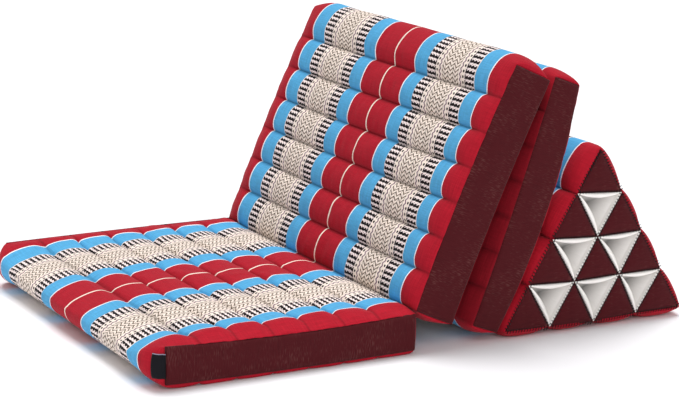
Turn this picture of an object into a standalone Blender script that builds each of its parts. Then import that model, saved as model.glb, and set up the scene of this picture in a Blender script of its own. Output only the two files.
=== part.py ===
"""Fold-out floor cushion with a triangle bolster.

Three quilted mats are hinged edge to edge: the seat mat lies flat, the two back mats stand behind it and
lean on a triangle bolster. Each mat is one filled solid of seven sewn channels with a flat gusset on both
long sides. The bolster has four filled channels on each of its three faces, and its ends are patchworks of
ten upright panels and six sunk pockets. X runs from the seat's front to the back, Y across the width and Z
up, in metres, with the origin under the middle of the whole cushion.
"""

import math
from dataclasses import dataclass

import bmesh
import bpy
from mathutils import Matrix, Vector

# The whole cushion. A gusset is a sheet on each long side, a seam's gap off the filling.
WIDTH = 0.800
CLOTH = 0.002
SEAM_GAP = 0.0003
HINGE_GAP = 0.00036
SIDE_Y = WIDTH / 2 - CLOTH - SEAM_GAP

# Steps of the outlines
DOME_STEPS = 6
NOSE_STEPS = 4
CAP_STEPS = 6
GUSSET_STEPS = 8

# How far in from a gusset the channels reach their full height, and a mat's end its full reach. Beside the
# gusset a share of both is left, so that no two points of an outline meet.
FACE_FADE = 0.035
END_FADE = 0.055
LEAST_FADE = 0.03
STATION_DEPTHS = (0.0, 0.004, 0.015, FACE_FADE, END_FADE)

# The triangle bolster: its end is a lattice of equal cells, four rows high
ROWS = 4
CELL = 0.1021
ROW_HEIGHT = 0.0843
LATTICE_Z = 0.0174
BOLSTER_CROWN = 0.018
LEANED_ON_CROWN = 0.012
FLOOR_CROWN = 0.024
CORNER_TURN = 0.85
POCKET_DEPTH = 0.045
POCKET_INSET = 0.0010
PANEL_INSET = 0.0004
LINER_CLOTH = 0.0015
LINER_LIFT = 0.0007
LINER_RISE = 0.0008
CUTTER_OVERRUN = 0.005

# The bare cloth tab in the seat's front corner seam
TAB_WIDTH = 0.025
TAB_HEIGHT = 0.045
TAB_CLOTH = 0.0015

# Name: sRGB red, green, blue, then roughness
COLOURS = {
    "striped_red_cotton": (0.72, 0.13, 0.18, 0.85),
    "maroon_cotton": (0.33, 0.11, 0.14, 0.85),
    "cream_cotton": (0.93, 0.91, 0.87, 0.85),
    "black_woven_tape": (0.06, 0.06, 0.07, 0.70),
}


@dataclass(frozen=True)
class Mat:
    """One quilted mat: q runs from the sewn end to the wrapped end, and t out of its front face."""

    name: str
    along: tuple  # unit direction of q, as (x, z)
    out: tuple  # unit direction of t, as (x, z)
    length: float  # of the gusset
    first: float  # length of the channel at the sewn end
    pitch: float  # length of the other channels, but for what is left at the wrapped end
    front: tuple  # t of the front seam at the sewn end, the middle and the wrapped end
    rear: tuple  # t of the rear seam at the same places
    front_crowns: tuple  # height of each channel over the front seam, from the sewn end
    rear_crowns: tuple
    rear_fill: float  # share of its height that a rear channel keeps at its grooves
    wrap_bulge: float  # reach of the wrapped end past the gusset
    sewn_bulge: float  # reach of the sewn end past the gusset
    squareness: float  # exponent of the wrapped end's curve, 2 for an ellipse
    lowest: float  # least t, where the mat lies flat on the floor


def leaning(degrees):
    """Directions along and out of a mat that leans back from upright by this angle."""
    angle = math.radians(degrees)
    return (math.sin(angle), math.cos(angle)), (-math.cos(angle), math.sin(angle))


SEAT_BACK_X = 0.438
SEAT_SEAM_Z = 0.083
FRONT_ALONG, FRONT_OUT = leaning(24.4)
REAR_ALONG, REAR_OUT = leaning(20.9)
REAR_MAT_Z = 0.044
FAR_OFF_X = 1.0

SEAT = Mat(
    name="seat_mat",
    along=(-1.0, 0.0),
    out=(0.0, 1.0),
    length=0.505,
    first=0.0763,
    pitch=0.0723,
    front=(0.0, 0.0, 0.0),
    rear=(-0.073, -0.073, -0.073),
    front_crowns=(0.011,) * 7,
    rear_crowns=(0.014,) * 7,
    rear_fill=0.5,
    wrap_bulge=0.038,
    sewn_bulge=0.006,
    squareness=2.8,
    lowest=-SEAT_SEAM_Z,
)
FRONT_BACK = Mat(
    name="front_back_mat",
    along=FRONT_ALONG,
    out=FRONT_OUT,
    length=0.490,
    first=0.073,
    pitch=0.070,
    front=(0.0, 0.006, 0.0),
    rear=(-0.086, -0.080, -0.080),
    front_crowns=(0.013,) * 7,
    rear_crowns=(0.011, 0.011, 0.011, 0.011, 0.010, 0.0085, 0.007),
    rear_fill=0.0,
    wrap_bulge=0.026,
    sewn_bulge=0.014,
    squareness=2.8,
    lowest=-1.0,
)
REAR_BACK = Mat(
    name="rear_back_mat",
    along=REAR_ALONG,
    out=REAR_OUT,
    length=0.490,
    first=0.073,
    pitch=0.070,
    front=(0.0, 0.0, 0.0),
    rear=(-0.070, -0.087, -0.060),
    front_crowns=(0.011, 0.011, 0.011, 0.011, 0.010, 0.0085, 0.007),
    rear_crowns=(0.006, 0.010, 0.011, 0.011, 0.011, 0.011, 0.011),
    rear_fill=0.0,
    wrap_bulge=0.018,
    sewn_bulge=0.016,
    squareness=3.2,
    lowest=-1.0,
)


def edge(three, fraction):
    """Height of a bowed seam: the parabola through its values at the two ends and the middle."""
    low, middle, high = three
    u = min(max(fraction, 0.0), 1.0)
    return low * (1 - u) * (1 - 2 * u) + middle * 4 * u * (1 - u) + high * u * (2 * u - 1)


def seams(mat, q):
    """The front and rear seams of a mat at q."""
    return edge(mat.front, q / mat.length), edge(mat.rear, q / mat.length)


def grooves(mat):
    """The places along a mat where a channel begins, from the sewn end to the last groove."""
    return [0.0] + [mat.first + mat.pitch * i for i in range(len(mat.front_crowns) - 1)]


def swell(mat, face, crown, share):
    """Height of a channel over its seam where this share of its dome is reached."""
    fill = mat.rear_fill if face else 0.0
    return crown * (fill + (1 - fill) * share)


def channelled(mat, starts, crowns, face):
    """One face's channels between the sewn end and the last groove, each a dome over its seam."""
    points = []
    for start, end, crown in zip(starts, starts[1:], crowns):
        for step in range(DOME_STEPS):
            angle = math.pi * step / DOME_STEPS
            q = start + (end - start) * (1 - math.cos(angle)) / 2
            height = swell(mat, face, crown, math.sin(angle)) if q > 0 else 0.0
            points.append((q, seams(mat, q)[face] + (-height if face else height)))
    return points


def wrapped_half(mat, start, face):
    """The last channel from its groove to the tip of the wrapped end, where the cover turns round."""
    front, rear = seams(mat, mat.length)
    half = (front - rear) / 2
    reach = mat.length + mat.wrap_bulge - start
    crest = (mat.length - start) / 2
    crown = (mat.front_crowns, mat.rear_crowns)[face][-1]
    reaches = [crest * (1 - math.cos(math.pi * k / DOME_STEPS)) for k in range(DOME_STEPS // 2)]
    turn = math.acos((crest / reach) ** (mat.squareness / 2))
    reaches += [
        reach * math.cos(turn * (1 - k / NOSE_STEPS)) ** (2 / mat.squareness) for k in range(NOSE_STEPS)
    ]
    points = []
    for r in reaches + [reach]:
        rise = math.sin(math.pi / 2 * min(1.0, r / crest))
        height = half + swell(mat, face, crown, rise)
        height *= (1 - (r / reach) ** mat.squareness) ** (1 / mat.squareness)
        middle = sum(seams(mat, start + r)) / 2
        points.append((start + r, middle + (-height if face else height)))
    return points


def mat_section(mat):
    """A mat's outline at full height, as (q, t), and the same points held to the edge of its gusset."""
    starts = grooves(mat)
    front = channelled(mat, starts, mat.front_crowns, 0) + wrapped_half(mat, starts[-1], 0)
    rear = channelled(mat, starts, mat.rear_crowns, 1) + wrapped_half(mat, starts[-1], 1)
    corner_front, corner_rear = seams(mat, 0.0)
    cap = []
    for step in range(1, CAP_STEPS):
        v = step / CAP_STEPS
        cap.append((-mat.sewn_bulge * 4 * v * (1 - v), corner_rear + (corner_front - corner_rear) * v))
    full = front + rear[-2::-1] + cap
    held = []
    for q, t in full:
        at = min(max(q, 0.0), mat.length)
        top, bottom = seams(mat, at)
        held.append((at, min(max(t, bottom), top)))
    return full, held


def in_plane(mat, corner, points):
    """Points (q, t) of a mat as (x, z), for the mat's corner at this (x, z)."""
    (ax, az), (ox, oz) = mat.along, mat.out
    return [(corner[0] + q * ax + t * ox, corner[1] + q * az + t * oz) for q, t in points]


def fades(depth):
    """How much of its full reach an outline has at this depth in from the gusset: ends, then faces."""
    return [
        max(LEAST_FADE, math.sqrt(1 - (1 - min(depth / width, 1.0)) ** 2)) for width in (END_FADE, FACE_FADE)
    ]


def stations():
    """Each station across the width with its fades, from the near side to the far side."""
    near = [(-SIDE_Y + depth, fades(depth)) for depth in STATION_DEPTHS]
    return near + [(0.0, (1.0, 1.0))] + [(-y, fade) for y, fade in reversed(near)]


def loft(name, rings, material):
    """A closed solid through rings of points that all have the same number of corners."""
    shape = bmesh.new()
    loops = [[shape.verts.new(point) for point in ring] for ring in rings]
    for first, second in zip(loops, loops[1:]):
        for i, corner in enumerate(first):
            j = (i + 1) % len(first)
            shape.faces.new((corner, first[j], second[j], second[i]))
    for ring in (loops[0], loops[-1]):
        shape.faces.new(ring)
    bmesh.ops.triangulate(shape, faces=[face for face in shape.faces if len(face.verts) == 4])
    bmesh.ops.recalc_face_normals(shape, faces=shape.faces[:])
    return finished(name, shape, material)


def finished(name, shape, material):
    """An object of this bmesh in the cushion's collection, with its own material."""
    mesh = bpy.data.meshes.new(name)
    shape.to_mesh(mesh)
    shape.free()
    mesh.shade_smooth()
    mesh.set_sharp_from_angle(angle=math.radians(40))
    part = bpy.data.objects.new(name, mesh)
    return adopted(part, material)


def adopted(part, material):
    """Put an object in the cushion's collection under the root, with its material."""
    part.data.materials.clear()
    part.data.materials.append(material)
    cushion.objects.link(part)
    part.parent = root
    return part


def cloth(name):
    """One cloth as a Principled BSDF material."""
    red, green, blue, roughness = COLOURS[name]
    material = bpy.data.materials.new(name)
    material.use_nodes = True
    shader = material.node_tree.nodes["Principled BSDF"]
    linear = [(c / 12.92) if c <= 0.04045 else ((c + 0.055) / 1.055) ** 2.4 for c in (red, green, blue)]
    shader.inputs["Base Color"].default_value = (*linear, 1.0)
    shader.inputs["Roughness"].default_value = roughness
    shader.inputs["Metallic"].default_value = 0.0
    return material


def clearance(fixed, moving):
    """Least distance in X from one outline to the next one behind it, over the heights that both reach."""

    def crossings(outline, z):
        found = []
        for (x1, z1), (x2, z2) in zip(outline, outline[1:] + outline[:1]):
            if min(z1, z2) <= z <= max(z1, z2):
                found.append(x1 if z1 == z2 else x1 + (x2 - x1) * (z - z1) / (z2 - z1))
        return found

    gaps = []
    for _, z in fixed + moving:
        before, behind = crossings(fixed, z), crossings(moving, z)
        if before and behind:
            gaps.append(min(behind) - max(before))
    return min(gaps)


def make_mat(mat, corner, material):
    """A mat's filled solid for its corner at this (x, z)."""
    full, held = mat_section(mat)
    rings = []
    for y, (end, face) in stations():
        shaped = [
            (qh + (q - qh) * end, max(th + (t - th) * face, mat.lowest))
            for (q, t), (qh, th) in zip(full, held)
        ]
        rings.append([(x, y, z) for x, z in in_plane(mat, corner, shaped)])
    return loft(mat.name, rings, material)


def make_gussets(mat, corner, material):
    """The flat side panels of a mat, cut to the outline between its seams."""
    fractions = [step / GUSSET_STEPS for step in range(GUSSET_STEPS + 1)]
    outline = [(mat.length * u, edge(mat.front, u)) for u in fractions]
    outline += [(mat.length * u, edge(mat.rear, u)) for u in reversed(fractions)]
    for side, sign in (("near", -1), ("far", 1)):
        curve = bpy.data.curves.new(f"{mat.name}_gusset_{side}", "CURVE")
        curve.dimensions = "2D"
        curve.fill_mode = "BOTH"
        curve.extrude = CLOTH / 2
        spline = curve.splines.new("POLY")
        spline.points.add(len(outline) - 1)
        for point, (x, z) in zip(spline.points, in_plane(mat, corner, outline)):
            point.co = (x, z, 0.0, 1.0)
        spline.use_cyclic_u = True
        gusset = adopted(bpy.data.objects.new(curve.name, curve), material)
        gusset.rotation_euler.x = math.pi / 2
        gusset.location.y = sign * (WIDTH - CLOTH) / 2


def bolster_corners(x):
    """The lattice triangle of the bolster's end, with its front corner at x: front, top and back."""
    base, height = CELL * ROWS, ROW_HEIGHT * ROWS
    return [(x, LATTICE_Z), (x + base / 2, LATTICE_Z + height), (x + base, LATTICE_Z)]


def bolster_section(x):
    """The bolster's outline at full height and the same points on its lattice, as (x, z)."""
    corners = bolster_corners(x)
    leaned_on = (LEANED_ON_CROWN,) + (BOLSTER_CROWN,) * (ROWS - 1)
    crowns = (leaned_on, (BOLSTER_CROWN,) * ROWS, (FLOOR_CROWN,) * ROWS)
    full, held = [], []
    for side, (start, end) in enumerate(zip(corners, corners[1:] + corners[:1])):
        dx, dz = (end[0] - start[0]) / ROWS, (end[1] - start[1]) / ROWS
        out = Vector((-dz, dx)).normalized()
        for row in range(ROWS):
            low = 1 - CORNER_TURN if row == 0 else 0.0
            high = CORNER_TURN if row == ROWS - 1 else 1.0
            for step in range(DOME_STEPS + (row == ROWS - 1)):
                angle = math.pi * (low + (high - low) * step / DOME_STEPS)
                first, last = math.cos(math.pi * low), math.cos(math.pi * high)
                u = row + (first - math.cos(angle)) / (first - last)
                base = Vector((start[0] + dx * u, start[1] + dz * u))
                top = base + out * crowns[side][row] * math.sin(angle)
                full.append((top.x, top.y))
                held.append((base.x, base.y))
    return full, held


def upright_cells(x):
    """Left corner of each upright cell of the lattice, from the bottom row up."""
    cells = []
    for row in range(ROWS):
        for column in range(ROWS - row):
            left = x + CELL * (column + row / 2)
            cells.append((left, LATTICE_Z + ROW_HEIGHT * row))
    return cells


def hanging_cells(x):
    """Lowest corner of each inverted cell of the lattice, from the bottom row up."""
    cells = []
    for row in range(ROWS - 1):
        for column in range(ROWS - 1 - row):
            cells.append((x + CELL * (column + 1 + row / 2), LATTICE_Z + ROW_HEIGHT * row))
    return cells


def inset_triangle(corners, inset):
    """A triangle's corners moved in so that each side moves by this much."""
    a, b, c = (Vector(corner) for corner in corners)
    sides = ((b - c).length, (c - a).length, (a - b).length)
    centre = (a * sides[0] + b * sides[1] + c * sides[2]) / sum(sides)
    area = abs((b - a).x * (c - a).y - (b - a).y * (c - a).x) / 2
    keep = 1 - inset * sum(sides) / (2 * area)
    return [centre + (corner - centre) * keep for corner in (a, b, c)], centre


def triangle_shape(corners, near_y, far_y, tip=None):
    """A bmesh of a triangular plate between two Y planes, or of a pyramid from one plane to its tip."""
    shape = bmesh.new()
    bmesh.ops.create_cone(shape, cap_ends=True, segments=3, radius1=1.0, radius2=1.0, depth=2.0)
    rims = [sorted((v for v in shape.verts if v.co.z * s > 0), key=lambda v: math.atan2(v.co.y, v.co.x))
            for s in (-1, 1)]
    for rim, y in zip(rims, (near_y, far_y)):
        for vert, corner in zip(rim, corners):
            vert.co = (corner.x, y, corner.y)
    if tip is not None:
        for vert in rims[1]:
            vert.co = (tip.x, far_y, tip.y)
        bmesh.ops.remove_doubles(shape, verts=rims[1], dist=SEAM_GAP)
    shape.normal_update()
    bmesh.ops.recalc_face_normals(shape, faces=shape.faces[:])
    return shape


def make_bolster(x, material):
    """The bolster's filled solid, with a pocket sunk in each end at every inverted cell."""
    full, held = bolster_section(x)
    rings = []
    for y, (_, face) in stations():
        rings.append([
            (xh + (xf - xh) * face, y, max(zh + (zf - zh) * face, 0.0))
            for (xf, zf), (xh, zh) in zip(full, held)
        ])
    bolster = loft("triangle_bolster", rings, material)
    for sign in (-1, 1):
        for number, (left, low) in enumerate(hanging_cells(x)):
            rim, centre = inset_triangle(hanging_corners(left, low), POCKET_INSET)
            spread = 1 + CUTTER_OVERRUN / POCKET_DEPTH
            wide = [centre + (corner - centre) * spread for corner in rim]
            shape = triangle_shape(
                wide, sign * (SIDE_Y + CUTTER_OVERRUN), sign * (SIDE_Y - POCKET_DEPTH), tip=centre
            )
            mesh = bpy.data.meshes.new(f"pocket_cutter_{number}")
            shape.to_mesh(mesh)
            shape.free()
            cutter = bpy.data.objects.new(mesh.name, mesh)
            cutters.objects.link(cutter)
            cutter.parent = root
            cutter.hide_render = True
            cutter.display_type = "WIRE"
            cut = bolster.modifiers.new(cutter.name, "BOOLEAN")
            cut.operation = "DIFFERENCE"
            cut.solver = "EXACT"
            cut.object = cutter
    return bolster


def upright_corners(left, low):
    """The corners of an upright cell from its left corner."""
    return [(left, low), (left + CELL / 2, low + ROW_HEIGHT), (left + CELL, low)]


def hanging_corners(bottom, low):
    """The corners of an inverted cell from its lowest corner."""
    return [(bottom, low), (bottom - CELL / 2, low + ROW_HEIGHT), (bottom + CELL / 2, low + ROW_HEIGHT)]


def make_end_panels(x, material):
    """The flat triangles of cloth on each end of the bolster, one over each upright cell."""
    for side, sign in (("near", -1), ("far", 1)):
        for number, (left, low) in enumerate(upright_cells(x), start=1):
            corners, _ = inset_triangle(upright_corners(left, low), PANEL_INSET)
            shape = triangle_shape(corners, sign * (WIDTH / 2 - CLOTH), sign * WIDTH / 2)
            finished(f"end_panel_{side}_{number:02d}", shape, material)


def make_pocket_liners(x, material):
    """The sunk triangles of cloth on each end: thin three-sided cups, a little clear of the filling."""
    for side, sign in (("near", -1), ("far", 1)):
        for number, (left, low) in enumerate(hanging_cells(x), start=1):
            rim, centre = inset_triangle(hanging_corners(left, low), POCKET_INSET)
            spread = (POCKET_DEPTH + LINER_RISE - LINER_LIFT) / POCKET_DEPTH
            wide = [centre + (corner - centre) * spread for corner in rim]
            rim_y = SIDE_Y + LINER_RISE
            shape = triangle_shape(
                wide, sign * rim_y, sign * (SIDE_Y - POCKET_DEPTH + LINER_LIFT), tip=centre
            )
            mouth = [face for face in shape.faces if abs(face.normal.y) > 0.99]
            bmesh.ops.delete(shape, geom=mouth, context="FACES_ONLY")
            liner = finished(f"pocket_liner_{side}_{number}", shape, material)
            shell = liner.modifiers.new("cloth thickness", "SOLIDIFY")
            shell.thickness = LINER_CLOTH
            shell.offset = -1.0


def make_tab(corner, material):
    """A bare cloth tab against the seat's wrapped front end, beside the near gusset."""
    front_x = corner[0] - SEAT.length
    inner, outer = STATION_DEPTHS[1], STATION_DEPTHS[2]
    points = [Vector((front_x - SEAT.wrap_bulge * fades(d)[0], -SIDE_Y + d)) for d in (inner, outer)]
    run = (points[1] - points[0]).normalized()
    out = Vector((-run.y, run.x))
    if out.x > 0:
        out = -out
    centre = (points[0] + points[1]) / 2 + out * (SEAM_GAP + TAB_CLOTH / 2)
    shape = bmesh.new()
    bmesh.ops.create_cube(shape, size=1.0)
    bmesh.ops.scale(shape, vec=(TAB_WIDTH, TAB_CLOTH, TAB_HEIGHT), verts=shape.verts[:])
    turn = Matrix.Rotation(math.atan2(run.y, run.x), 4, "Z")
    middle_z = corner[1] + sum(seams(SEAT, SEAT.length)) / 2
    bmesh.ops.transform(shape, matrix=turn, verts=shape.verts[:])
    bmesh.ops.translate(shape, vec=(centre.x, centre.y, middle_z), verts=shape.verts[:])
    finished("sewn_tab", shape, material)


for old in list(bpy.data.objects):
    bpy.data.objects.remove(old)
cushion = bpy.data.collections.new("triangle_cushion")
cutters = bpy.data.collections.new("cutters")
bpy.context.scene.collection.children.link(cushion)
bpy.context.scene.collection.children.link(cutters)
root = bpy.data.objects.new("cushion_root", None)
cushion.objects.link(root)

# Each mat's corner as (x, z), with x measured from the seat's first groove. The back mats and the bolster
# are slid up to what they lean on.
seat_corner = (SEAT_BACK_X, SEAT_SEAM_Z)
front_corner = (SEAT_BACK_X + HINGE_GAP, SEAT_SEAM_Z + HINGE_GAP)
front_outline = in_plane(FRONT_BACK, front_corner, mat_section(FRONT_BACK)[0])
rear_outline = in_plane(REAR_BACK, (FAR_OFF_X, REAR_MAT_Z), mat_section(REAR_BACK)[0])
rear_corner = (FAR_OFF_X - clearance(front_outline, rear_outline) + HINGE_GAP, REAR_MAT_Z)
rear_outline = in_plane(REAR_BACK, rear_corner, mat_section(REAR_BACK)[0])
bolster_x = FAR_OFF_X - clearance(rear_outline, bolster_section(FAR_OFF_X)[0]) + HINGE_GAP

# The origin goes under the middle of the whole length
seat_outline = in_plane(SEAT, seat_corner, mat_section(SEAT)[0])
front_end = min(x for x, _ in seat_outline)
back_end = max(x for x, _ in bolster_section(bolster_x)[0])
root.location.x = -(front_end + back_end) / 2

striped = cloth("striped_red_cotton")
maroon = cloth("maroon_cotton")
for mat, corner in ((SEAT, seat_corner), (FRONT_BACK, front_corner), (REAR_BACK, rear_corner)):
    make_mat(mat, corner, striped)
    make_gussets(mat, corner, maroon)
make_bolster(bolster_x, striped)
make_end_panels(bolster_x, maroon)
make_pocket_liners(bolster_x, cloth("cream_cotton"))
make_tab(seat_corner, cloth("black_woven_tape"))
print(f"front {front_end:.4f} back {back_end:.4f} rear mat {rear_corner[0]:.4f} bolster {bolster_x:.4f}")
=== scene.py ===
"""Fold-out floor cushion with a triangle bolster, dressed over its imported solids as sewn, filled cotton.

The covers of the three quilted mats and of the bolster are fine lofts of the same outlines as the solids,
plumped by a cloth simulation that their grooves and seams hold. Side cloths, end panels, pocket cloths, the
tab and the overcast stitches are separate pieces. Everything is in metres, in the row frame.
"""

import logging
import math
from dataclasses import dataclass
from enum import Enum

import bpy
import numpy as np
from mathutils import Matrix, Vector, noise
from mathutils.bvhtree import BVHTree


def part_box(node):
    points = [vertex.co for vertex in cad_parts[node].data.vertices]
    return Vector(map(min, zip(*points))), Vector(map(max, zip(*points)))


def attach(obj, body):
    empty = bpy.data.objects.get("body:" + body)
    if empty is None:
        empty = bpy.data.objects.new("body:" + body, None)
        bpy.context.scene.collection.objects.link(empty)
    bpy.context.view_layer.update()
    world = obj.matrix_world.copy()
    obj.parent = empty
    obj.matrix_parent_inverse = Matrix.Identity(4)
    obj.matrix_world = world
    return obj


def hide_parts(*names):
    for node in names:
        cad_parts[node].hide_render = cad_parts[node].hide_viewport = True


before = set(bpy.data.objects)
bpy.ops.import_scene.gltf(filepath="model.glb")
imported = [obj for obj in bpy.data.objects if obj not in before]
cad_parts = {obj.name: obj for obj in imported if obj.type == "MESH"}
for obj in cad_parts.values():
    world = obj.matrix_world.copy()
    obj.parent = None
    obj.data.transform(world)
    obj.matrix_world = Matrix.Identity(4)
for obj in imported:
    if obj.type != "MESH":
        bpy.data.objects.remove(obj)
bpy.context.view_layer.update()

LOG = logging.getLogger("triangle_cushion")

# The whole cushion, as in the solids
WIDTH = 0.800
SIDE_Y = 0.3977
ROOT_X = -0.4728
CLOTH_UV = "cloth"
# Name of the attribute that paints shade into the cloth colours: darker in the grooves, on faces hidden
# against the next mat and deep in the pockets
PAINTED_SHADE_TONE = "painted shade tone"
FACE_FADE = 0.050
END_FADE = 0.055
LEAST_FADE = 0.02
CLOTH_THICKNESS = 0.0007
Point = tuple[float, float]


class End(Enum):
    """The two long sides of the cushion, with the sign of their Y."""

    NEAR = -1
    FAR = 1


class Slot(Enum):
    """The record's material slots."""

    COVER = "striped_cover"
    SIDE = "side_cloth"
    POCKET = "pocket_cloth"
    TAB = "tab_tape"


def linear(hex_colour: str) -> tuple[float, float, float, float]:
    """Turn an sRGB hex colour into linear RGBA.

    Args:
        hex_colour: Six hex digits after a hash.

    Returns:
        The linear colour with an alpha of one.
    """
    parts = [int(hex_colour[i : i + 2], 16) / 255 for i in (1, 3, 5)]
    red, green, blue = [c / 12.92 if c <= 0.04045 else ((c + 0.055) / 1.055) ** 2.4 for c in parts]
    return red, green, blue, 1.0


def add_node(tree: bpy.types.NodeTree, kind: str, inputs: dict, out: int | str = 0, **settings):
    """Add one node with its settings and its links.

    Args:
        tree: Node tree that takes the node.
        kind: Node type without its ShaderNode prefix.
        inputs: Socket name or index to a value, or to the output socket that feeds it.
        out: Output that is handed back.
        settings: Attributes of the node.

    Returns:
        The node's output socket, or the node where it has none.
    """
    node = tree.nodes.new("ShaderNode" + kind)
    for name, value in settings.items():
        setattr(node, name, value)
    for socket, value in inputs.items():
        if isinstance(value, bpy.types.NodeSocket):
            tree.links.new(value, node.inputs[socket])
        else:
            node.inputs[socket].default_value = value
    return node.outputs[out] if len(node.outputs) else node


def add_ramp(socket: bpy.types.NodeSocket, stops: list[tuple[float, tuple]], interpolation: str) -> None:
    """Give the colour ramp that owns this socket its stops.

    Args:
        socket: An output of the ramp node.
        stops: Position and linear colour of each stop, in order.
        interpolation: Constant, linear or ease.
    """
    ramp = socket.node.color_ramp
    ramp.interpolation = interpolation
    while len(ramp.elements) < len(stops):
        ramp.elements.new(1.0)
    for element, (position, colour) in zip(ramp.elements, stops):
        element.position = position
        element.color = colour


@dataclass(frozen=True)
class Finish:
    """What every cloth here shares: a matt, slightly hairy cotton surface."""

    name: str
    roughness: float = 0.88
    sheen: float = 0.07
    sheen_roughness: float = 0.35
    specular: float = 0.12

    def start(self) -> tuple[bpy.types.Material, bpy.types.NodeTree, bpy.types.Node]:
        """Make the material with its shader's own sockets set.

        Returns:
            The material, its node tree and its Principled shader.
        """
        material = bpy.data.materials.new(self.name)
        material.use_nodes = True
        tree = material.node_tree
        shader = tree.nodes["Principled BSDF"]
        shader.inputs["Roughness"].default_value = self.roughness
        shader.inputs["Sheen Weight"].default_value = self.sheen
        shader.inputs["Sheen Roughness"].default_value = self.sheen_roughness
        shader.inputs["Specular IOR Level"].default_value = self.specular
        return material, tree, shader

    @staticmethod
    def millimetres(tree: bpy.types.NodeTree) -> tuple[bpy.types.NodeSocket, bpy.types.NodeSocket]:
        """Read the piece's cloth coordinates.

        Args:
            tree: Node tree of the material.

        Returns:
            Distance across and along the cloth, in millimetres.
        """
        uv = add_node(tree, "UVMap", {}, uv_map=CLOTH_UV)
        scaled = add_node(tree, "VectorMath", {0: uv, 3: 1000.0}, operation="SCALE")
        across = add_node(tree, "SeparateXYZ", {0: scaled}, out="X")
        return across, across.node.outputs["Y"]

    @staticmethod
    def mottled(
        tree: bpy.types.NodeTree, across_mm: float, along_mm: float, spread: float, detail: float = 2.0
    ) -> bpy.types.NodeSocket:
        """Add a brightness factor that varies from yarn to yarn.

        Args:
            tree: Node tree of the material.
            across_mm: Size of a fleck across the cloth.
            along_mm: Size of a fleck along the cloth.
            spread: How far the factor goes either side of one.
            detail: Octaves of the noise.

        Returns:
            The factor.
        """
        uv = add_node(tree, "UVMap", {}, uv_map=CLOTH_UV)
        scale = (1000 / across_mm, 1000 / along_mm, 1.0)
        flecks = add_node(tree, "Mapping", {"Vector": uv, "Scale": scale})
        value = add_node(tree, "TexNoise", {"Vector": flecks, "Scale": 1.0, "Detail": detail})
        return add_node(tree, "MapRange", {0: value, 1: 0.25, 2: 0.75, 3: 1 - spread, 4: 1 + spread})

    @staticmethod
    def weave(tree: bpy.types.NodeTree, across, along, pitch_mm: float) -> bpy.types.NodeSocket:
        """Add the height of a plain weave.

        Args:
            tree: Node tree of the material.
            across: Distance across the cloth in millimetres.
            along: Distance along the cloth in millimetres.
            pitch_mm: Spacing of the threads.

        Returns:
            The height, from zero to one.
        """
        half = pitch_mm / 2
        warp = add_node(tree, "Math", {0: across, 1: half}, operation="PINGPONG")
        weft = add_node(tree, "Math", {0: along, 1: half}, operation="PINGPONG")
        both = add_node(tree, "Math", {0: warp, 1: weft}, operation="SUBTRACT")
        size = add_node(tree, "Math", {0: both}, operation="ABSOLUTE")
        return add_node(tree, "Math", {0: size, 1: half}, operation="DIVIDE")


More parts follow.
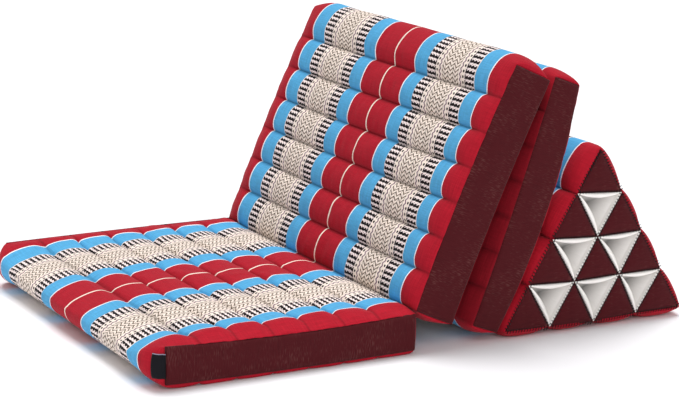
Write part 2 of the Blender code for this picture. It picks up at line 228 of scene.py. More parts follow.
@dataclass(frozen=True)
class LoomedStripedCotton(Finish):
    """Hand-loomed cotton with coloured warp stripes and two bands of raised pattern.

    The dyed warp gives sharp stripes that run the length of each mat, with slight streaks from yarn to yarn.
    The pattern bands are picked out with extra dark weft, which stands a little proud of the cream ground.
    """

    red: str = "#AE182A"
    blue: str = "#56AADA"
    line: str = "#FFFAFC"
    middle_line: str = "#F9E9DB"
    ground: str = "#F8E9DD"
    blush: str = "#FDEDEA"
    dark: str = "#150A0D"
    bead: str = "#8A6C60"
    vine: str = "#7D6070"
    gap: str = "#665240"
    stem: str = "#7A6450"
    band_start_mm: float = 125.5
    band_width_mm: float = 172.0
    row_mm: float = 11.0
    border_mm: float = 35.0
    step_mm: float = 10.5  # length of a bar's two steps, of which the second is shifted
    shifted_from_mm: float = 5.5
    shift_mm: float = 1.1
    bead_column_mm: float = 40.0
    vine_column_mm: float = 49.5
    chain_mm: float = 57.0
    braid_column_mm: float = 9.7
    braid_slope: float = 0.85
    braid_pitch_mm: float = 9.0
    braid_gap_mm: float = 2.9
    thread_mm: float = 1.6  # the real threads are 0.5 mm apart, too fine to show

    def bars(self) -> list[tuple[float, tuple]]:
        """Half thickness of a dark bar along its length, in centimetres, as ramp stops.

        Returns:
            The stops over half the band's width.
        """
        profile = ((0, 0.0), (0.6, 0.34), (7, 0.22), (11, 0.34), (18, 0.22), (22, 0.34), (28, 0.23),
                   (30, 0.45), (34, 0.0))
        half_band = self.band_width_mm / 2
        return [(mm / half_band, (h, h, h, 1.0)) for mm, h in profile]

    def material(self) -> bpy.types.Material:
        """Build the node material.

        Returns:
            The cloth.
        """
        material, tree, shader = self.start()
        across, along = self.millimetres(tree)
        half_width = WIDTH * 500
        wander = self.mottled(tree, 9, 30, 0.45)
        centred = add_node(tree, "Math", {0: across, 1: half_width}, operation="SUBTRACT")
        from_middle = add_node(tree, "Math", {0: centred}, operation="ABSOLUTE")
        loose = add_node(tree, "Math", {0: from_middle, 1: wander}, operation="ADD")
        share = add_node(tree, "Math", {0: loose, 1: half_width}, operation="DIVIDE")
        stripes = add_node(tree, "ValToRGB", {0: share})
        band_end = self.band_start_mm + self.band_width_mm
        edges = ((0, self.middle_line), (2.2, self.red), (76.9, self.line), (81.1, self.blue),
                 (self.band_start_mm + 1, self.ground), (band_end + 1, self.blue), (343.9, self.line),
                 (348.1, self.red))
        add_ramp(stripes, [(mm / half_width, linear(c)) for mm, c in edges], "CONSTANT")

        # Distance into the band from its nearer edge
        middle = self.band_start_mm + self.band_width_mm / 2
        off = add_node(tree, "Math", {0: from_middle, 1: middle}, operation="SUBTRACT")
        off = add_node(tree, "Math", {0: off}, operation="ABSOLUTE")
        inward = add_node(tree, "Math", {0: self.band_width_mm / 2, 1: off}, operation="SUBTRACT")

        # Border of dark stepped bars
        step = add_node(tree, "Math", {0: inward, 1: self.step_mm}, operation="FLOORED_MODULO")
        step = add_node(tree, "Math", {0: step, 1: self.shifted_from_mm}, operation="GREATER_THAN")
        stepped = add_node(tree, "Math", {0: step, 1: self.shift_mm, 2: along}, operation="MULTIPLY_ADD")
        half_row = self.row_mm / 2
        off_row = add_node(tree, "Math", {0: stepped, 1: half_row}, operation="PINGPONG")
        place = add_node(tree, "Math", {0: inward, 1: self.band_width_mm / 2}, operation="DIVIDE")
        profile = add_node(tree, "ValToRGB", {0: place})
        add_ramp(profile, self.bars(), "CONSTANT")
        thick = add_node(tree, "Math", {0: profile, 1: 10.0}, operation="MULTIPLY")
        bar = add_node(tree, "Math", {0: off_row, 1: thick}, operation="LESS_THAN")
        bead_off = add_node(tree, "Math", {0: inward, 1: 5.0}, operation="PINGPONG")
        bead_row = add_node(tree, "Math", {0: half_row, 1: off_row}, operation="SUBTRACT")
        bead_size = add_node(tree, "Math", {0: bead_off, 1: bead_row}, operation="ADD")
        bead = add_node(tree, "Math", {0: bead_size, 1: 1.3}, operation="LESS_THAN")
        in_border = add_node(tree, "Math", {0: inward, 1: self.border_mm}, operation="LESS_THAN")

        # Chain column: one dark bead a row, between two winding vines
        off_chain = add_node(tree, "Math", {0: inward, 1: self.bead_column_mm}, operation="SUBTRACT")
        link = add_node(tree, "CombineXYZ", {0: off_chain, 1: off_row})
        link = add_node(tree, "VectorMath", {0: link}, out="Value", operation="LENGTH")
        link = add_node(tree, "Math", {0: link, 1: 2.7}, operation="LESS_THAN")
        swing = add_node(tree, "Math", {0: along, 1: 2 * math.pi / self.row_mm}, operation="MULTIPLY")
        swing = add_node(tree, "Math", {0: swing}, operation="SINE")
        swing = add_node(tree, "Math", {0: swing, 1: 1.8, 2: self.vine_column_mm}, operation="MULTIPLY_ADD")
        vine = add_node(tree, "Math", {0: inward, 1: swing, 2: 1.9}, operation="COMPARE")

        # Braid of short slanting strokes that turn at each column, towards the middle of the band
        in_braid = add_node(tree, "Math", {0: inward, 1: self.chain_mm}, operation="GREATER_THAN")
        turn = add_node(tree, "Math", {0: inward, 1: self.braid_column_mm}, operation="PINGPONG")
        slant = add_node(tree, "Math", {0: turn, 1: self.braid_slope, 2: along}, operation="MULTIPLY_ADD")
        stroke = add_node(tree, "Math", {0: slant, 1: self.braid_pitch_mm}, operation="FLOORED_MODULO")
        between = add_node(tree, "Math", {0: stroke, 1: self.braid_gap_mm}, operation="LESS_THAN")
        column = add_node(tree, "Math", {0: turn, 1: self.braid_column_mm / 2}, operation="PINGPONG")
        edge = add_node(tree, "Math", {0: column, 1: 0.5}, operation="LESS_THAN")
        seed = add_node(tree, "Math", {0: stroke, 1: column}, operation="ADD")
        seed = add_node(tree, "Math", {0: seed, 1: 2.3}, operation="LESS_THAN")

        colour = stripes
        in_band = add_node(tree, "Math", {0: inward, 1: 0.5}, operation="GREATER_THAN")
        layers = (
            (self.blush, in_border, None), (self.bead, bead, in_border), (self.dark, bar, in_band),
            (self.dark, link, None), (self.vine, vine, None), (self.gap, between, in_braid),
            (self.stem, edge, in_braid), (self.dark, seed, in_braid),
        )
        for shade, mask, within in layers:
            if within is not None:
                mask = add_node(tree, "Math", {0: mask, 1: within}, operation="MULTIPLY")
            mask = add_node(tree, "Math", {0: mask, 1: in_band}, operation="MULTIPLY")
            colour = add_node(tree, "Mix", {0: mask, 6: colour, 7: linear(shade)}, out=2, data_type="RGBA")

        # Streaks in the warp, slubs in the weft, and painted shade: darker in the grooves and on a face
        # hidden against the next mat
        warp = self.mottled(tree, 2.2, 40, 0.14)
        weft = self.mottled(tree, 30, 2.2, 0.12)
        # Painted shade factor read from the piece, which multiplies the colour
        painted_groove_shade = add_node(tree, "Attribute", {}, out="Fac", attribute_name=PAINTED_SHADE_TONE)
        tone = add_node(tree, "Math", {0: warp, 1: weft}, operation="MULTIPLY")
        tone = add_node(tree, "Math", {0: tone, 1: painted_groove_shade}, operation="MULTIPLY")
        tone = add_node(tree, "CombineColor", {0: tone, 1: tone, 2: tone})
        colour = add_node(
            tree, "Mix", {0: 1.0, 6: colour, 7: tone}, out=2, data_type="RGBA", blend_type="MULTIPLY"
        )
        tree.links.new(colour, shader.inputs["Base Color"])

        raised = add_node(tree, "Math", {0: bar, 1: in_border}, operation="MULTIPLY")
        woven = self.weave(tree, across, along, self.thread_mm)
        height = add_node(tree, "Math", {0: raised, 1: 0.8, 2: woven}, operation="MULTIPLY_ADD")
        bump = add_node(tree, "Bump", {"Height": height, "Strength": 0.5, "Distance": 0.0003})
        tree.links.new(bump, shader.inputs["Normal"])
        return material


@dataclass(frozen=True)
class SlubCotton(Finish):
    """Plain-woven maroon cotton spun with slubs, which show as short pale streaks across the side cloths."""

    base: str = "#4C151A"
    shade: str = "#380D12"
    slub: str = "#6E4340"
    thread_mm: float = 1.5
    slub_length_mm: float = 11.0
    slub_width_mm: float = 1.3

    def material(self) -> bpy.types.Material:
        """Build the node material.

        Returns:
            The cloth.
        """
        material, tree, shader = self.start()
        across, along = self.millimetres(tree)
        rib = self.mottled(tree, 30, 1.6, 0.5)
        colour = add_node(
            tree, "Mix", {0: rib, 6: linear(self.shade), 7: linear(self.base)}, out=2, data_type="RGBA"
        )
        streak = self.mottled(tree, self.slub_length_mm, self.slub_width_mm, 0.5, detail=0.0)
        patch = self.mottled(tree, 70, 90, 0.35)
        streak = add_node(tree, "Math", {0: streak, 1: patch}, operation="MULTIPLY")
        streak = add_node(tree, "MapRange", {0: streak, 1: 1.15, 2: 1.7, 3: 0.0, 4: 0.5})
        colour = add_node(
            tree, "Mix", {0: streak, 6: colour, 7: linear(self.slub)}, out=2, data_type="RGBA"
        )
        tree.links.new(colour, shader.inputs["Base Color"])
        woven = self.weave(tree, across, along, self.thread_mm)
        height = add_node(tree, "Math", {0: streak, 1: 1.5, 2: woven}, operation="MULTIPLY_ADD")
        height = add_node(tree, "Math", {0: rib, 1: height}, operation="ADD")
        bump = add_node(tree, "Bump", {"Height": height, "Strength": 0.5, "Distance": 0.0004})
        tree.links.new(bump, shader.inputs["Normal"])
        return material


@dataclass(frozen=True)
class PlainCotton(Finish):
    """Undyed, bleached or dyed plain-woven cotton: one soft colour with a faint thread."""

    colour: str = "#FAF6F2"
    thread_mm: float = 1.4
    spread: float = 0.03
    # Painted shade: folded pieces darken their colour by their painted shade attribute, deep in folds and
    # recesses
    folded: bool = False  # whether its pieces say how deep in a fold they lie

    def material(self) -> bpy.types.Material:
        """Build the node material.

        Returns:
            The cloth.
        """
        material, tree, shader = self.start()
        across, along = self.millimetres(tree)
        tone = self.mottled(tree, 2.0, 25, self.spread)
        # Painted shade from the piece, darker deep in its folds
        if self.folded:
            fold = add_node(tree, "Attribute", {}, out="Fac", attribute_name=PAINTED_SHADE_TONE)
            tone = add_node(tree, "Math", {0: tone, 1: fold}, operation="MULTIPLY")
        tone = add_node(tree, "CombineColor", {0: tone, 1: tone, 2: tone})
        colour = add_node(
            tree, "Mix", {0: 1.0, 6: linear(self.colour), 7: tone}, out=2, data_type="RGBA",
            blend_type="MULTIPLY",
        )
        tree.links.new(colour, shader.inputs["Base Color"])
        woven = self.weave(tree, across, along, self.thread_mm)
        bump = add_node(tree, "Bump", {"Height": woven, "Strength": 0.35, "Distance": 0.0003})
        tree.links.new(bump, shader.inputs["Normal"])
        return material


@dataclass(frozen=True)
class WovenTape(Finish):
    """Bare black polyester tape, with the pale picks of its folded top edge."""

    colour: str = "#141318"
    edge: str = "#9A93A8"
    height_mm: float = 45.0

    def material(self) -> bpy.types.Material:
        """Build the node material.

        Returns:
            The tape.
        """
        material, tree, shader = self.start()
        across, along = self.millimetres(tree)
        top = add_node(tree, "Math", {0: along, 1: self.height_mm - 1.6}, operation="GREATER_THAN")
        mask = add_node(tree, "Math", {0: top, 1: 0.8}, operation="MULTIPLY")
        colour = add_node(
            tree, "Mix", {0: mask, 6: linear(self.colour), 7: linear(self.edge)}, out=2, data_type="RGBA"
        )
        tree.links.new(colour, shader.inputs["Base Color"])
        woven = self.weave(tree, across, along, 1.2)
        bump = add_node(tree, "Bump", {"Height": woven, "Strength": 0.5, "Distance": 0.0003})
        tree.links.new(bump, shader.inputs["Normal"])
        return material


@dataclass(frozen=True)
class Wardrobe:
    """The finished cloths, one material each."""

    cover: bpy.types.Material
    side: bpy.types.Material
    pocket: bpy.types.Material
    tape: bpy.types.Material
    thread: bpy.types.Material


def wrinkle(x: float, y: float, z: float, seed: float) -> float:
    """Smooth noise from about -0.5 to 0.5, the same in each run."""
    return noise.noise(Vector((x, y, z + seed)))


def make_piece(name: str, points: np.ndarray, faces: list, uvs: np.ndarray, material):
    """Make a mesh object with cloth coordinates, riding on the root.

    Args:
        name: Name of the piece.
        points: Its vertices.
        faces: Vertex numbers of each face.
        uvs: Cloth coordinates of each face corner, in metres.
        material: Its material.

    Returns:
        The object.
    """
    mesh = bpy.data.meshes.new(name)
    mesh.from_pydata(points.tolist(), [], faces)
    layer = mesh.uv_layers.new(name=CLOTH_UV)
    layer.data.foreach_set("uv", np.asarray(uvs, np.float32).ravel())
    mesh.materials.append(material)
    mesh.shade_smooth()
    piece = bpy.data.objects.new(name, mesh)
    bpy.context.scene.collection.objects.link(piece)
    return piece


def grid_faces(rows: int, columns: int, closed: bool) -> list[tuple[int, int, int, int]]:
    """Quads of a grid of vertices.

    Args:
        rows: Rows of vertices.
        columns: Vertices in a row.
        closed: Whether each row closes on itself.

    Returns:
        Vertex numbers of each quad.
    """
    last = columns if closed else columns - 1
    return [
        (j * columns + i, j * columns + (i + 1) % columns, (j + 1) * columns + (i + 1) % columns,
         (j + 1) * columns + i)
        for j in range(rows - 1)
        for i in range(last)
    ]


@dataclass
class Outline:
    """A filled piece's closed outline, as points (q, t) or (x, z), with what the sewing does at each."""

    full: list[Point]
    held: list[Point]
    sewn: list[bool]
    swell: list[float]
    closing: int = 0  # number of the first point of the sewn end

    def extend(self, full: Point, held: Point, sewn: bool, swell: float) -> None:
        """Add one point.

        Args:
            full: The point at full height.
            held: The same point at the edge of the side cloth.
            sewn: Whether it lies in a groove.
            swell: How far the filling may push it out, in metres.
        """
        self.full.append(full)
        self.held.append(held)
        self.sewn.append(sewn)
        self.swell.append(swell)


@dataclass
class FilledCover:
    """A closed cotton cover lofted across the cushion through one outline."""

    name: str
    replaces: str
    seed: float
    fill: float
    recess: float = 0.0  # depth of the end walls behind the end cloths
    pucker: float = 0.0007
    unevenness: float = 0.0018
    middle_step: float = 0.0079
    # Each ring beside a seam: its place in from the side, and the depth that its fullness goes by.
    # The cover's edge rolls over and turns into the seam.
    edge_depths: tuple = (
        (0.0030, 0.0), (0.0014, 0.00015), (0.0004, 0.0006), (0.0, 0.0016), (0.0010, 0.0036), (0.0042, 0.0070),
        (0.0100, 0.0120), (0.0175, 0.0185), (0.025, 0.025), (0.032, 0.032), (0.040, 0.040), (0.048, 0.048),
    )

    def stations(self) -> np.ndarray:
        """Y of each ring from the near end to the far end, and the depth that its fullness goes by."""
        near = [(-SIDE_Y + place, depth) for place, depth in self.edge_depths]
        last = near[-1][0]
        count = 2 * round(-last / self.middle_step)
        inner = [(y, SIDE_Y - abs(y)) for y in np.linspace(last, -last, count + 1)[1:-1]]
        return np.array([*near, *inner, *[(-y, depth) for y, depth in reversed(near)]])

    @staticmethod
    def fades(depth: float, face_fade: float = FACE_FADE) -> tuple[float, float]:
        """How much of its full reach an outline has at this depth in from the side.

        Args:
            depth: Depth in metres.
            face_fade: Depth at which the faces are full.

        Returns:
            The shares for the ends and for the faces.
        """
        end = math.sqrt(1 - (1 - min(depth / END_FADE, 1.0)) ** 2)
        face = math.sin(math.pi / 2 * min(depth / face_fade, 1.0)) ** 0.8
        return max(LEAST_FADE, end), max(LEAST_FADE, face)

    def build(
        self, rings: np.ndarray, sewn: np.ndarray, swell: np.ndarray, shade: np.ndarray, material
    ) -> bpy.types.Object:
        """Make the cover's mesh.

        Args:
            rings: X and Z of each ring's points, one ring a station.
            sewn: Whether each point of the outline lies in a groove.
            swell: How far each point may swell.
            shade: Painted shade of each point of the outline, a factor that darkens its colour.
            material: Its cloth.

        Returns:
            The cover, before its filling is settled.
        """
        stations, depths = self.stations().T
        count = rings.shape[1]
        middle = rings[len(stations) // 2]
        lengths = np.linalg.norm(np.roll(middle, -1, 0) - middle, axis=1)
        arc = np.concatenate([[0.0], np.cumsum(lengths)])
        reach = self.groove_distance(arc, sewn)
        rings = self.uneven(rings, stations, depths, arc, reach, swell)
        points = np.empty((len(stations), count, 3))
        points[:, :, 0] = rings[:, :, 0]
        points[:, :, 1] = stations[:, None]
        points[:, :, 2] = rings[:, :, 1]
        rows = list(points)
        if self.recess:
            rows = [self.recessed(rows[0], 1), *rows, self.recessed(rows[-1], -1)]
        faces = grid_faces(len(rows), count, closed=True)
        last = (len(rows) - 1) * count
        faces += [tuple(reversed(range(count))), tuple(range(last, last + count))]
        y_of = np.array([row[0, 1] for row in rows]) + WIDTH / 2
        quads = np.empty((len(rows) - 1, count, 4, 2))
        quads[:, :, (0, 1), 0] = y_of[:-1, None, None]
        quads[:, :, (2, 3), 0] = y_of[1:, None, None]
        quads[:, :, (0, 3), 1] = arc[None, :-1, None]
        quads[:, :, (1, 2), 1] = arc[None, 1:, None]
        uvs = np.concatenate([quads.reshape(-1, 2), np.zeros((2 * count, 2))])
        cover = make_piece(self.name, np.concatenate(rows), faces, uvs, material)
        # Painted shade: the colour darkens towards each groove, and further by the given shade
        tone = (0.66 + 0.34 * np.clip(reach / 0.008, 0, 1)) * shade
        tone = np.tile(tone, len(rows)).astype(np.float32)
        cover.data.attributes.new(PAINTED_SHADE_TONE, "FLOAT", "POINT").data.foreach_set("value", tone)
        self.crease(cover, np.tile(sewn, len(rows)), len(rows), count)
        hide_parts(self.replaces)
        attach(cover, "root")
        return cover

    @staticmethod
    def groove_distance(arc: np.ndarray, sewn: np.ndarray) -> np.ndarray:
        """Distance along the outline from each point to its nearest groove.

        Args:
            arc: Length along the outline at each point, with the whole length last.
            sewn: Whether each point lies in a groove.

        Returns:
            The distances in metres.
        """
        at = arc[:-1]
        apart = np.abs(at[:, None] - at[sewn][None, :])
        return np.minimum(apart, arc[-1] - apart).min(axis=1)

    def uneven(self, rings, stations, depths, arc, reach, swell) -> np.ndarray:
        """Give the channels their uneven filling, and puckers beside the grooves and seams.

        Args:
            rings: X and Z of each ring's points.
            stations: Y of each ring.
            depths: Depth that each ring's fullness goes by.
            arc: Length along the outline at each point.
            reach: Distance of each point to its nearest groove.
            swell: How far each point may swell.

        Returns:
            The rings with their points moved along their normals.
        """
        ahead = np.roll(rings, -1, 1) - np.roll(rings, 1, 1)
        normals = np.stack([-ahead[:, :, 1], ahead[:, :, 0]], axis=2)
        normals /= np.maximum(np.linalg.norm(normals, axis=2, keepdims=True), 1e-9)
        centre = rings.mean(axis=1, keepdims=True)
        side = np.sign(np.sum(normals * (rings - centre)))
        free = np.clip(swell / swell.max(), 0, 1)
        moved = rings.copy()
        for j, (y, depth) in enumerate(zip(stations, depths)):
            inside = min(depth / FACE_FADE, 1.0)
            for i in range(rings.shape[1]):
                s, off = arc[i], reach[i]
                dome = min(off / 0.03, 1.0) * inside
                lift = self.unevenness * wrinkle(9 * y, 14 * s, 0, self.seed) * dome
                gather = math.exp(-off / 0.010) * min(off / 0.004, 1.0) * inside
                lift += self.pucker * 2 * wrinkle(75 * y, 18 * s, 5, self.seed) * gather
                hem = math.exp(-depth / 0.012) * min(depth / 0.003, 1.0)
                lift += self.pucker * 2 * wrinkle(20 * y, 85 * s, 9, self.seed) * hem
                moved[j, i] += normals[j, i] * side * lift * free[i]
        return moved

    def recessed(self, ring: np.ndarray, inward: int) -> np.ndarray:
        """A smaller copy of the last ring, set back behind the end cloths.

        Args:
            ring: The ring at one end.
            inward: Sign of Y towards the middle.

        Returns:
            The ring of the end wall.
        """
        centre = ring.mean(axis=0)
        back = centre + (ring - centre) * 0.97
        back[:, 1] = ring[:, 1] + inward * self.recess
        return back

    @staticmethod
    def crease(cover: bpy.types.Object, sewn: np.ndarray, rows: int, count: int) -> None:
        """Keep the grooves and the rims sharp under subdivision.

        Args:
            cover: The cover.
            sewn: Whether each vertex lies in a groove.
            rows: Rings of the mesh.
            count: Points in a ring.
        """
        mesh = cover.data
        ends = np.empty(len(mesh.edges) * 2, np.int32)
        mesh.edges.foreach_get("vertices", ends)
        first, second = ends[0::2], ends[1::2]
        crease = np.where(sewn[first] & sewn[second], 0.75, 0.0)
        along = first // count == second // count
        edge_rows = (0, 1, rows - 2, rows - 1)
        crease[along & np.isin(first // count, edge_rows)] = 0.9
        layer = mesh.attributes.new("crease_edge", "FLOAT", "EDGE")
        layer.data.foreach_set("value", crease.astype(np.float32))


@dataclass
class Filling:
    """Kapok pressed into the covers: Blender's Cloth, blown up from inside and held at what is sewn."""

    pressure: float = 4.0
    slack: float = 0.02
    frames: int = 16
    quality: int = 4

    def settle(self, covers: list[tuple[bpy.types.Object, np.ndarray, np.ndarray]]) -> None:
        """Simulate all covers at once, then keep their moved points and drop the simulation.

        Args:
            covers: Each cover with whether its vertices are sewn, and how far each may move.
        """
        scene = bpy.context.scene
        rest = {}
        for cover, sewn, _ in covers:
            rest[cover.name] = self.points_of(cover.data)
            group = cover.vertex_groups.new(name="sewn")
            group.add(np.flatnonzero(sewn).tolist(), 1.0, "REPLACE")
            cloth = cover.modifiers.new("filling", "CLOTH")
            cloth.point_cache.frame_start = 1
            cloth.point_cache.frame_end = self.frames
            settings = cloth.settings
            settings.quality = self.quality
            settings.mass = 0.3
            settings.tension_stiffness = 25
            settings.compression_stiffness = 5
            settings.shear_stiffness = 5
            settings.bending_stiffness = 0.3
            settings.vertex_group_mass = "sewn"
            settings.shrink_min = -self.slack
            settings.shrink_max = -self.slack
            settings.use_pressure = True
            settings.uniform_pressure_force = self.pressure
            settings.effector_weights.gravity = 0
            cloth.collision_settings.use_collision = False
        for number in range(1, self.frames + 1):
            scene.frame_set(number)
        graph = bpy.context.evaluated_depsgraph_get()
        for cover, _, limit in covers:
            swollen = self.points_of(cover.evaluated_get(graph).data)
            move = swollen - rest[cover.name]
            normals = np.empty(len(cover.data.vertices) * 3, np.float32)
            cover.data.vertex_normals.foreach_get("vector", normals)
            normals = normals.reshape(-1, 3)
            # Filling only pushes outwards
            inward = np.minimum(np.sum(move * normals, axis=1), 0.0)
            move -= normals * inward[:, None]
            size = np.linalg.norm(move, axis=1)
            LOG.info("%s swelled by %.1f mm at most", cover.name, 1000 * size.max())
            keep = limit * np.tanh(size / np.maximum(limit, 1e-6)) / np.maximum(size, 1e-9)
            settled = rest[cover.name] + move * keep[:, None]
            settled[:, 2] = np.maximum(settled[:, 2], 0.0)
            cover.data.vertices.foreach_set("co", settled.astype(np.float32).ravel())
        for cover, _, _ in covers:
            cover.modifiers.remove(cover.modifiers["filling"])
            cover.vertex_groups.clear()
        scene.frame_set(1)
        for cover, _, _ in covers:
            fine = cover.modifiers.new("fine cloth", "SUBSURF")
            fine.levels = 1
            fine.render_levels = 1

    @staticmethod
    def points_of(mesh: bpy.types.Mesh) -> np.ndarray:
        """The mesh's vertex places, one row each."""
        flat = np.empty(len(mesh.vertices) * 3, np.float32)
        mesh.vertices.foreach_get("co", flat)
        return flat.reshape(-1, 3).astype(float)


def parabola(three: tuple[float, float, float], fraction: float) -> float:
    """Height of a bowed seam through its values at the two ends and the middle.

    Args:
        three: Values at the sewn end, the middle and the wrapped end.
        fraction: Place along the seam.

    Returns:
        The height there.
    """
    low, middle, high = three
    u = min(max(fraction, 0.0), 1.0)
    return low * (1 - u) * (1 - 2 * u) + middle * 4 * u * (1 - u) + high * u * (2 * u - 1)


def leaning(degrees: float) -> tuple[Point, Point]:
    """Directions along and out of a mat that leans back from upright by this angle.

    Args:
        degrees: The lean.

    Returns:
        Both directions as (x, z).
    """
    angle = math.radians(degrees)
    return (math.sin(angle), math.cos(angle)), (-math.cos(angle), math.sin(angle))


@dataclass
class QuiltedMat:
    """One quilted mat of seven channels: q runs from its sewn end to its wrapped end, t out of its front."""

    name: str
    corner: Point  # (x, z) of q = 0, t = 0
    along: Point
    out: Point
    length: float
    first: float
    pitch: float
    front: tuple
    rear: tuple
    front_crowns: tuple
    rear_crowns: tuple
    front_dip: tuple  # how far the side cloth's upper seam hangs off the front, as in front
    far_dip: tuple  # the same at the far side
    rear_dip: tuple
    front_sink: tuple  # how much deeper the front grooves pull in away from the sides, as in front
    front_drop: tuple  # how much lower the front crests lie there
    bow: float  # how far the grooves bow towards the wrapped end at the middle of the width
    front_fill: float
    rear_fill: float
    wrap_bulge: float
    sewn_bulge: float
    squareness: float
    lowest: float
    front_swell: float
    rear_swell: float
    seed: float
    inner_squareness: float = 2.6
    rear_fade: float = FACE_FADE
    channel_steps: int = 10
    crest_steps: int = 5
    nose_steps: int = 9
    cap_steps: int = 12
    gusset_bulge: float = 0.0035
    seam_depth: float = 0.0032

    def seams(self, q: float) -> tuple[float, float]:
        """The t of the front and rear seams at q."""
        return parabola(self.front, q / self.length), parabola(self.rear, q / self.length)

    def hems(self, q: float, end: End) -> tuple[float, float]:
        """The t of the two edges of one end's side cloth at q."""
        front, rear = self.seams(q)
        dip = self.front_dip if end is End.NEAR else self.far_dip
        return front + parabola(dip, q / self.length), rear + parabola(self.rear_dip, q / self.length)

    def grooves(self) -> list[float]:
        """The q of each channel's start, from the sewn end to the last groove."""
        return [0.0] + [self.first + self.pitch * i for i in range(len(self.front_crowns) - 1)]

    def crown(self, face: int, number: int, share: float, q: float, inner: bool) -> float:
        """Height of a channel over its seam.

        Args:
            face: 0 for the front, 1 for the rear.
            number: The channel, from the sewn end.
            share: Share of its dome.
            q: Place along the mat.
            inner: Whether it is away from the sides.

        Returns:
            The height in metres.
        """
        fill = (self.front_fill, self.rear_fill)[face]
        height = (self.front_crowns, self.rear_crowns)[face][number] * (fill + (1 - fill) * share)
        if inner and face == 0:
            height -= parabola(self.front_sink, q / self.length) * (1 - share)
            height -= parabola(self.front_drop, q / self.length) * share
        return height

    def face_points(self, face: int, inner: bool) -> list[tuple[float, float, bool]]:
        """One face from the sewn end to the tip of the wrapped end.

        Args:
            face: 0 for the front, 1 for the rear.
            inner: Whether it is away from the sides.

        Returns:
            The q and t of each point, and whether it lies in a groove.
        """
        sign = -1 if face else 1
        starts = self.grooves()
        points = []
        for number, (start, end) in enumerate(zip(starts, starts[1:])):
            for step in range(self.channel_steps):
                angle = math.pi * (step / self.channel_steps)
                q = start + (end - start) * (0.6 * (1 - math.cos(angle)) / 2 + 0.4 * angle / math.pi)
                share = math.sin(math.acos(max(-1.0, min(1.0, 1 - 2 * (q - start) / (end - start)))))
                height = self.crown(face, number, share, q, inner) if q > 0 else 0.0
                points.append((q, self.seams(q)[face] + sign * height, step == 0))
        last = len(starts) - 1
        start = starts[-1]
        half = (parabola(self.front, 1) - parabola(self.rear, 1)) / 2
        square = self.inner_squareness if inner else self.squareness
        reach = self.length + self.wrap_bulge - start
        crest = (self.length - start) / 2
        quarter = math.pi / 2 / self.crest_steps
        reaches = [crest * (1 - math.cos(quarter * k)) for k in range(self.crest_steps)]
        turn = math.acos((crest / reach) ** (square / 2))
        for k in range(self.nose_steps):
            reaches.append(reach * math.cos(turn * (1 - k / self.nose_steps)) ** (2 / square))
        for number, r in enumerate(reaches + [reach]):
            rise = math.sin(math.pi / 2 * min(1.0, r / crest))
            height = half + self.crown(face, last, rise, start + r, inner)
            height *= (1 - (r / reach) ** square) ** (1 / square)
            points.append((start + r, sum(self.seams(start + r)) / 2 + sign * height, number == 0))
        return points

    def outline(self, end: End, inner: bool) -> Outline:
        """The mat's closed outline from the front of its sewn end round to the back of it.

        Args:
            end: The side whose seams hold it.
            inner: Whether it is the outline away from the sides.

        Returns:
            The outline.
        """
        line = Outline([], [], [], [])

        def add(q: float, t: float, sewn: bool, swell: float) -> None:
            at = min(max(q, 0.0), self.length)
            top, bottom = self.hems(at, end)
            line.extend((q, t), (at, min(max(t, bottom), top)), sewn, swell)

        for q, t, sewn in self.face_points(0, inner):
            add(q, t, sewn, self.front_swell)
        for q, t, sewn in self.face_points(1, inner)[-2::-1]:
            add(q, t, sewn, self.rear_swell)
        front, rear = self.seams(0.0)
        line.closing = len(line.full)
        for step in range(1, self.cap_steps):
            v = step / self.cap_steps
            add(-self.sewn_bulge * 4 * v * (1 - v), rear + (front - rear) * v, False, 0.0003)
        return line

    def merged(self, full: np.ndarray, line: Outline) -> np.ndarray:
        """The outline with its grooves half filled, as beside the side cloths where no stitch holds them.

        Args:
            full: The points at full height.
            line: The outline.

        Returns:
            The points with t moved out at the grooves.
        """
        smooth = full.copy()
        for face in (0, 1):
            sign = -1 if face else 1
            crowns = (self.front_crowns, self.rear_crowns)[face]
            for number, (q, t) in enumerate(full[: line.closing]):
                place = min(max(q, 0.0), self.length)
                rise = sign * (t - self.seams(place)[face])
                channel = min(int(max(place - self.first, -1e-9) / self.pitch + 1), len(crowns) - 1)
                taper = math.sin(math.pi * min(max(place / self.length, 0.0), 1.0)) ** 0.3
                wanted = 0.6 * crowns[channel] * taper
                if -0.002 < rise < wanted and 0 < q < self.length - 0.02:
                    smooth[number, 1] = t + sign * (wanted - rise) * 0.85
        return smooth

    def placed(self, points: np.ndarray) -> np.ndarray:
        """Turn points (q, t) into (x, z).

        Args:
            points: Their last axis is (q, t).

        Returns:
            The same array of points in the row frame.
        """
        along, out = np.array(self.along), np.array(self.out)
        return np.array(self.corner) + points[..., :1] * along + points[..., 1:] * out

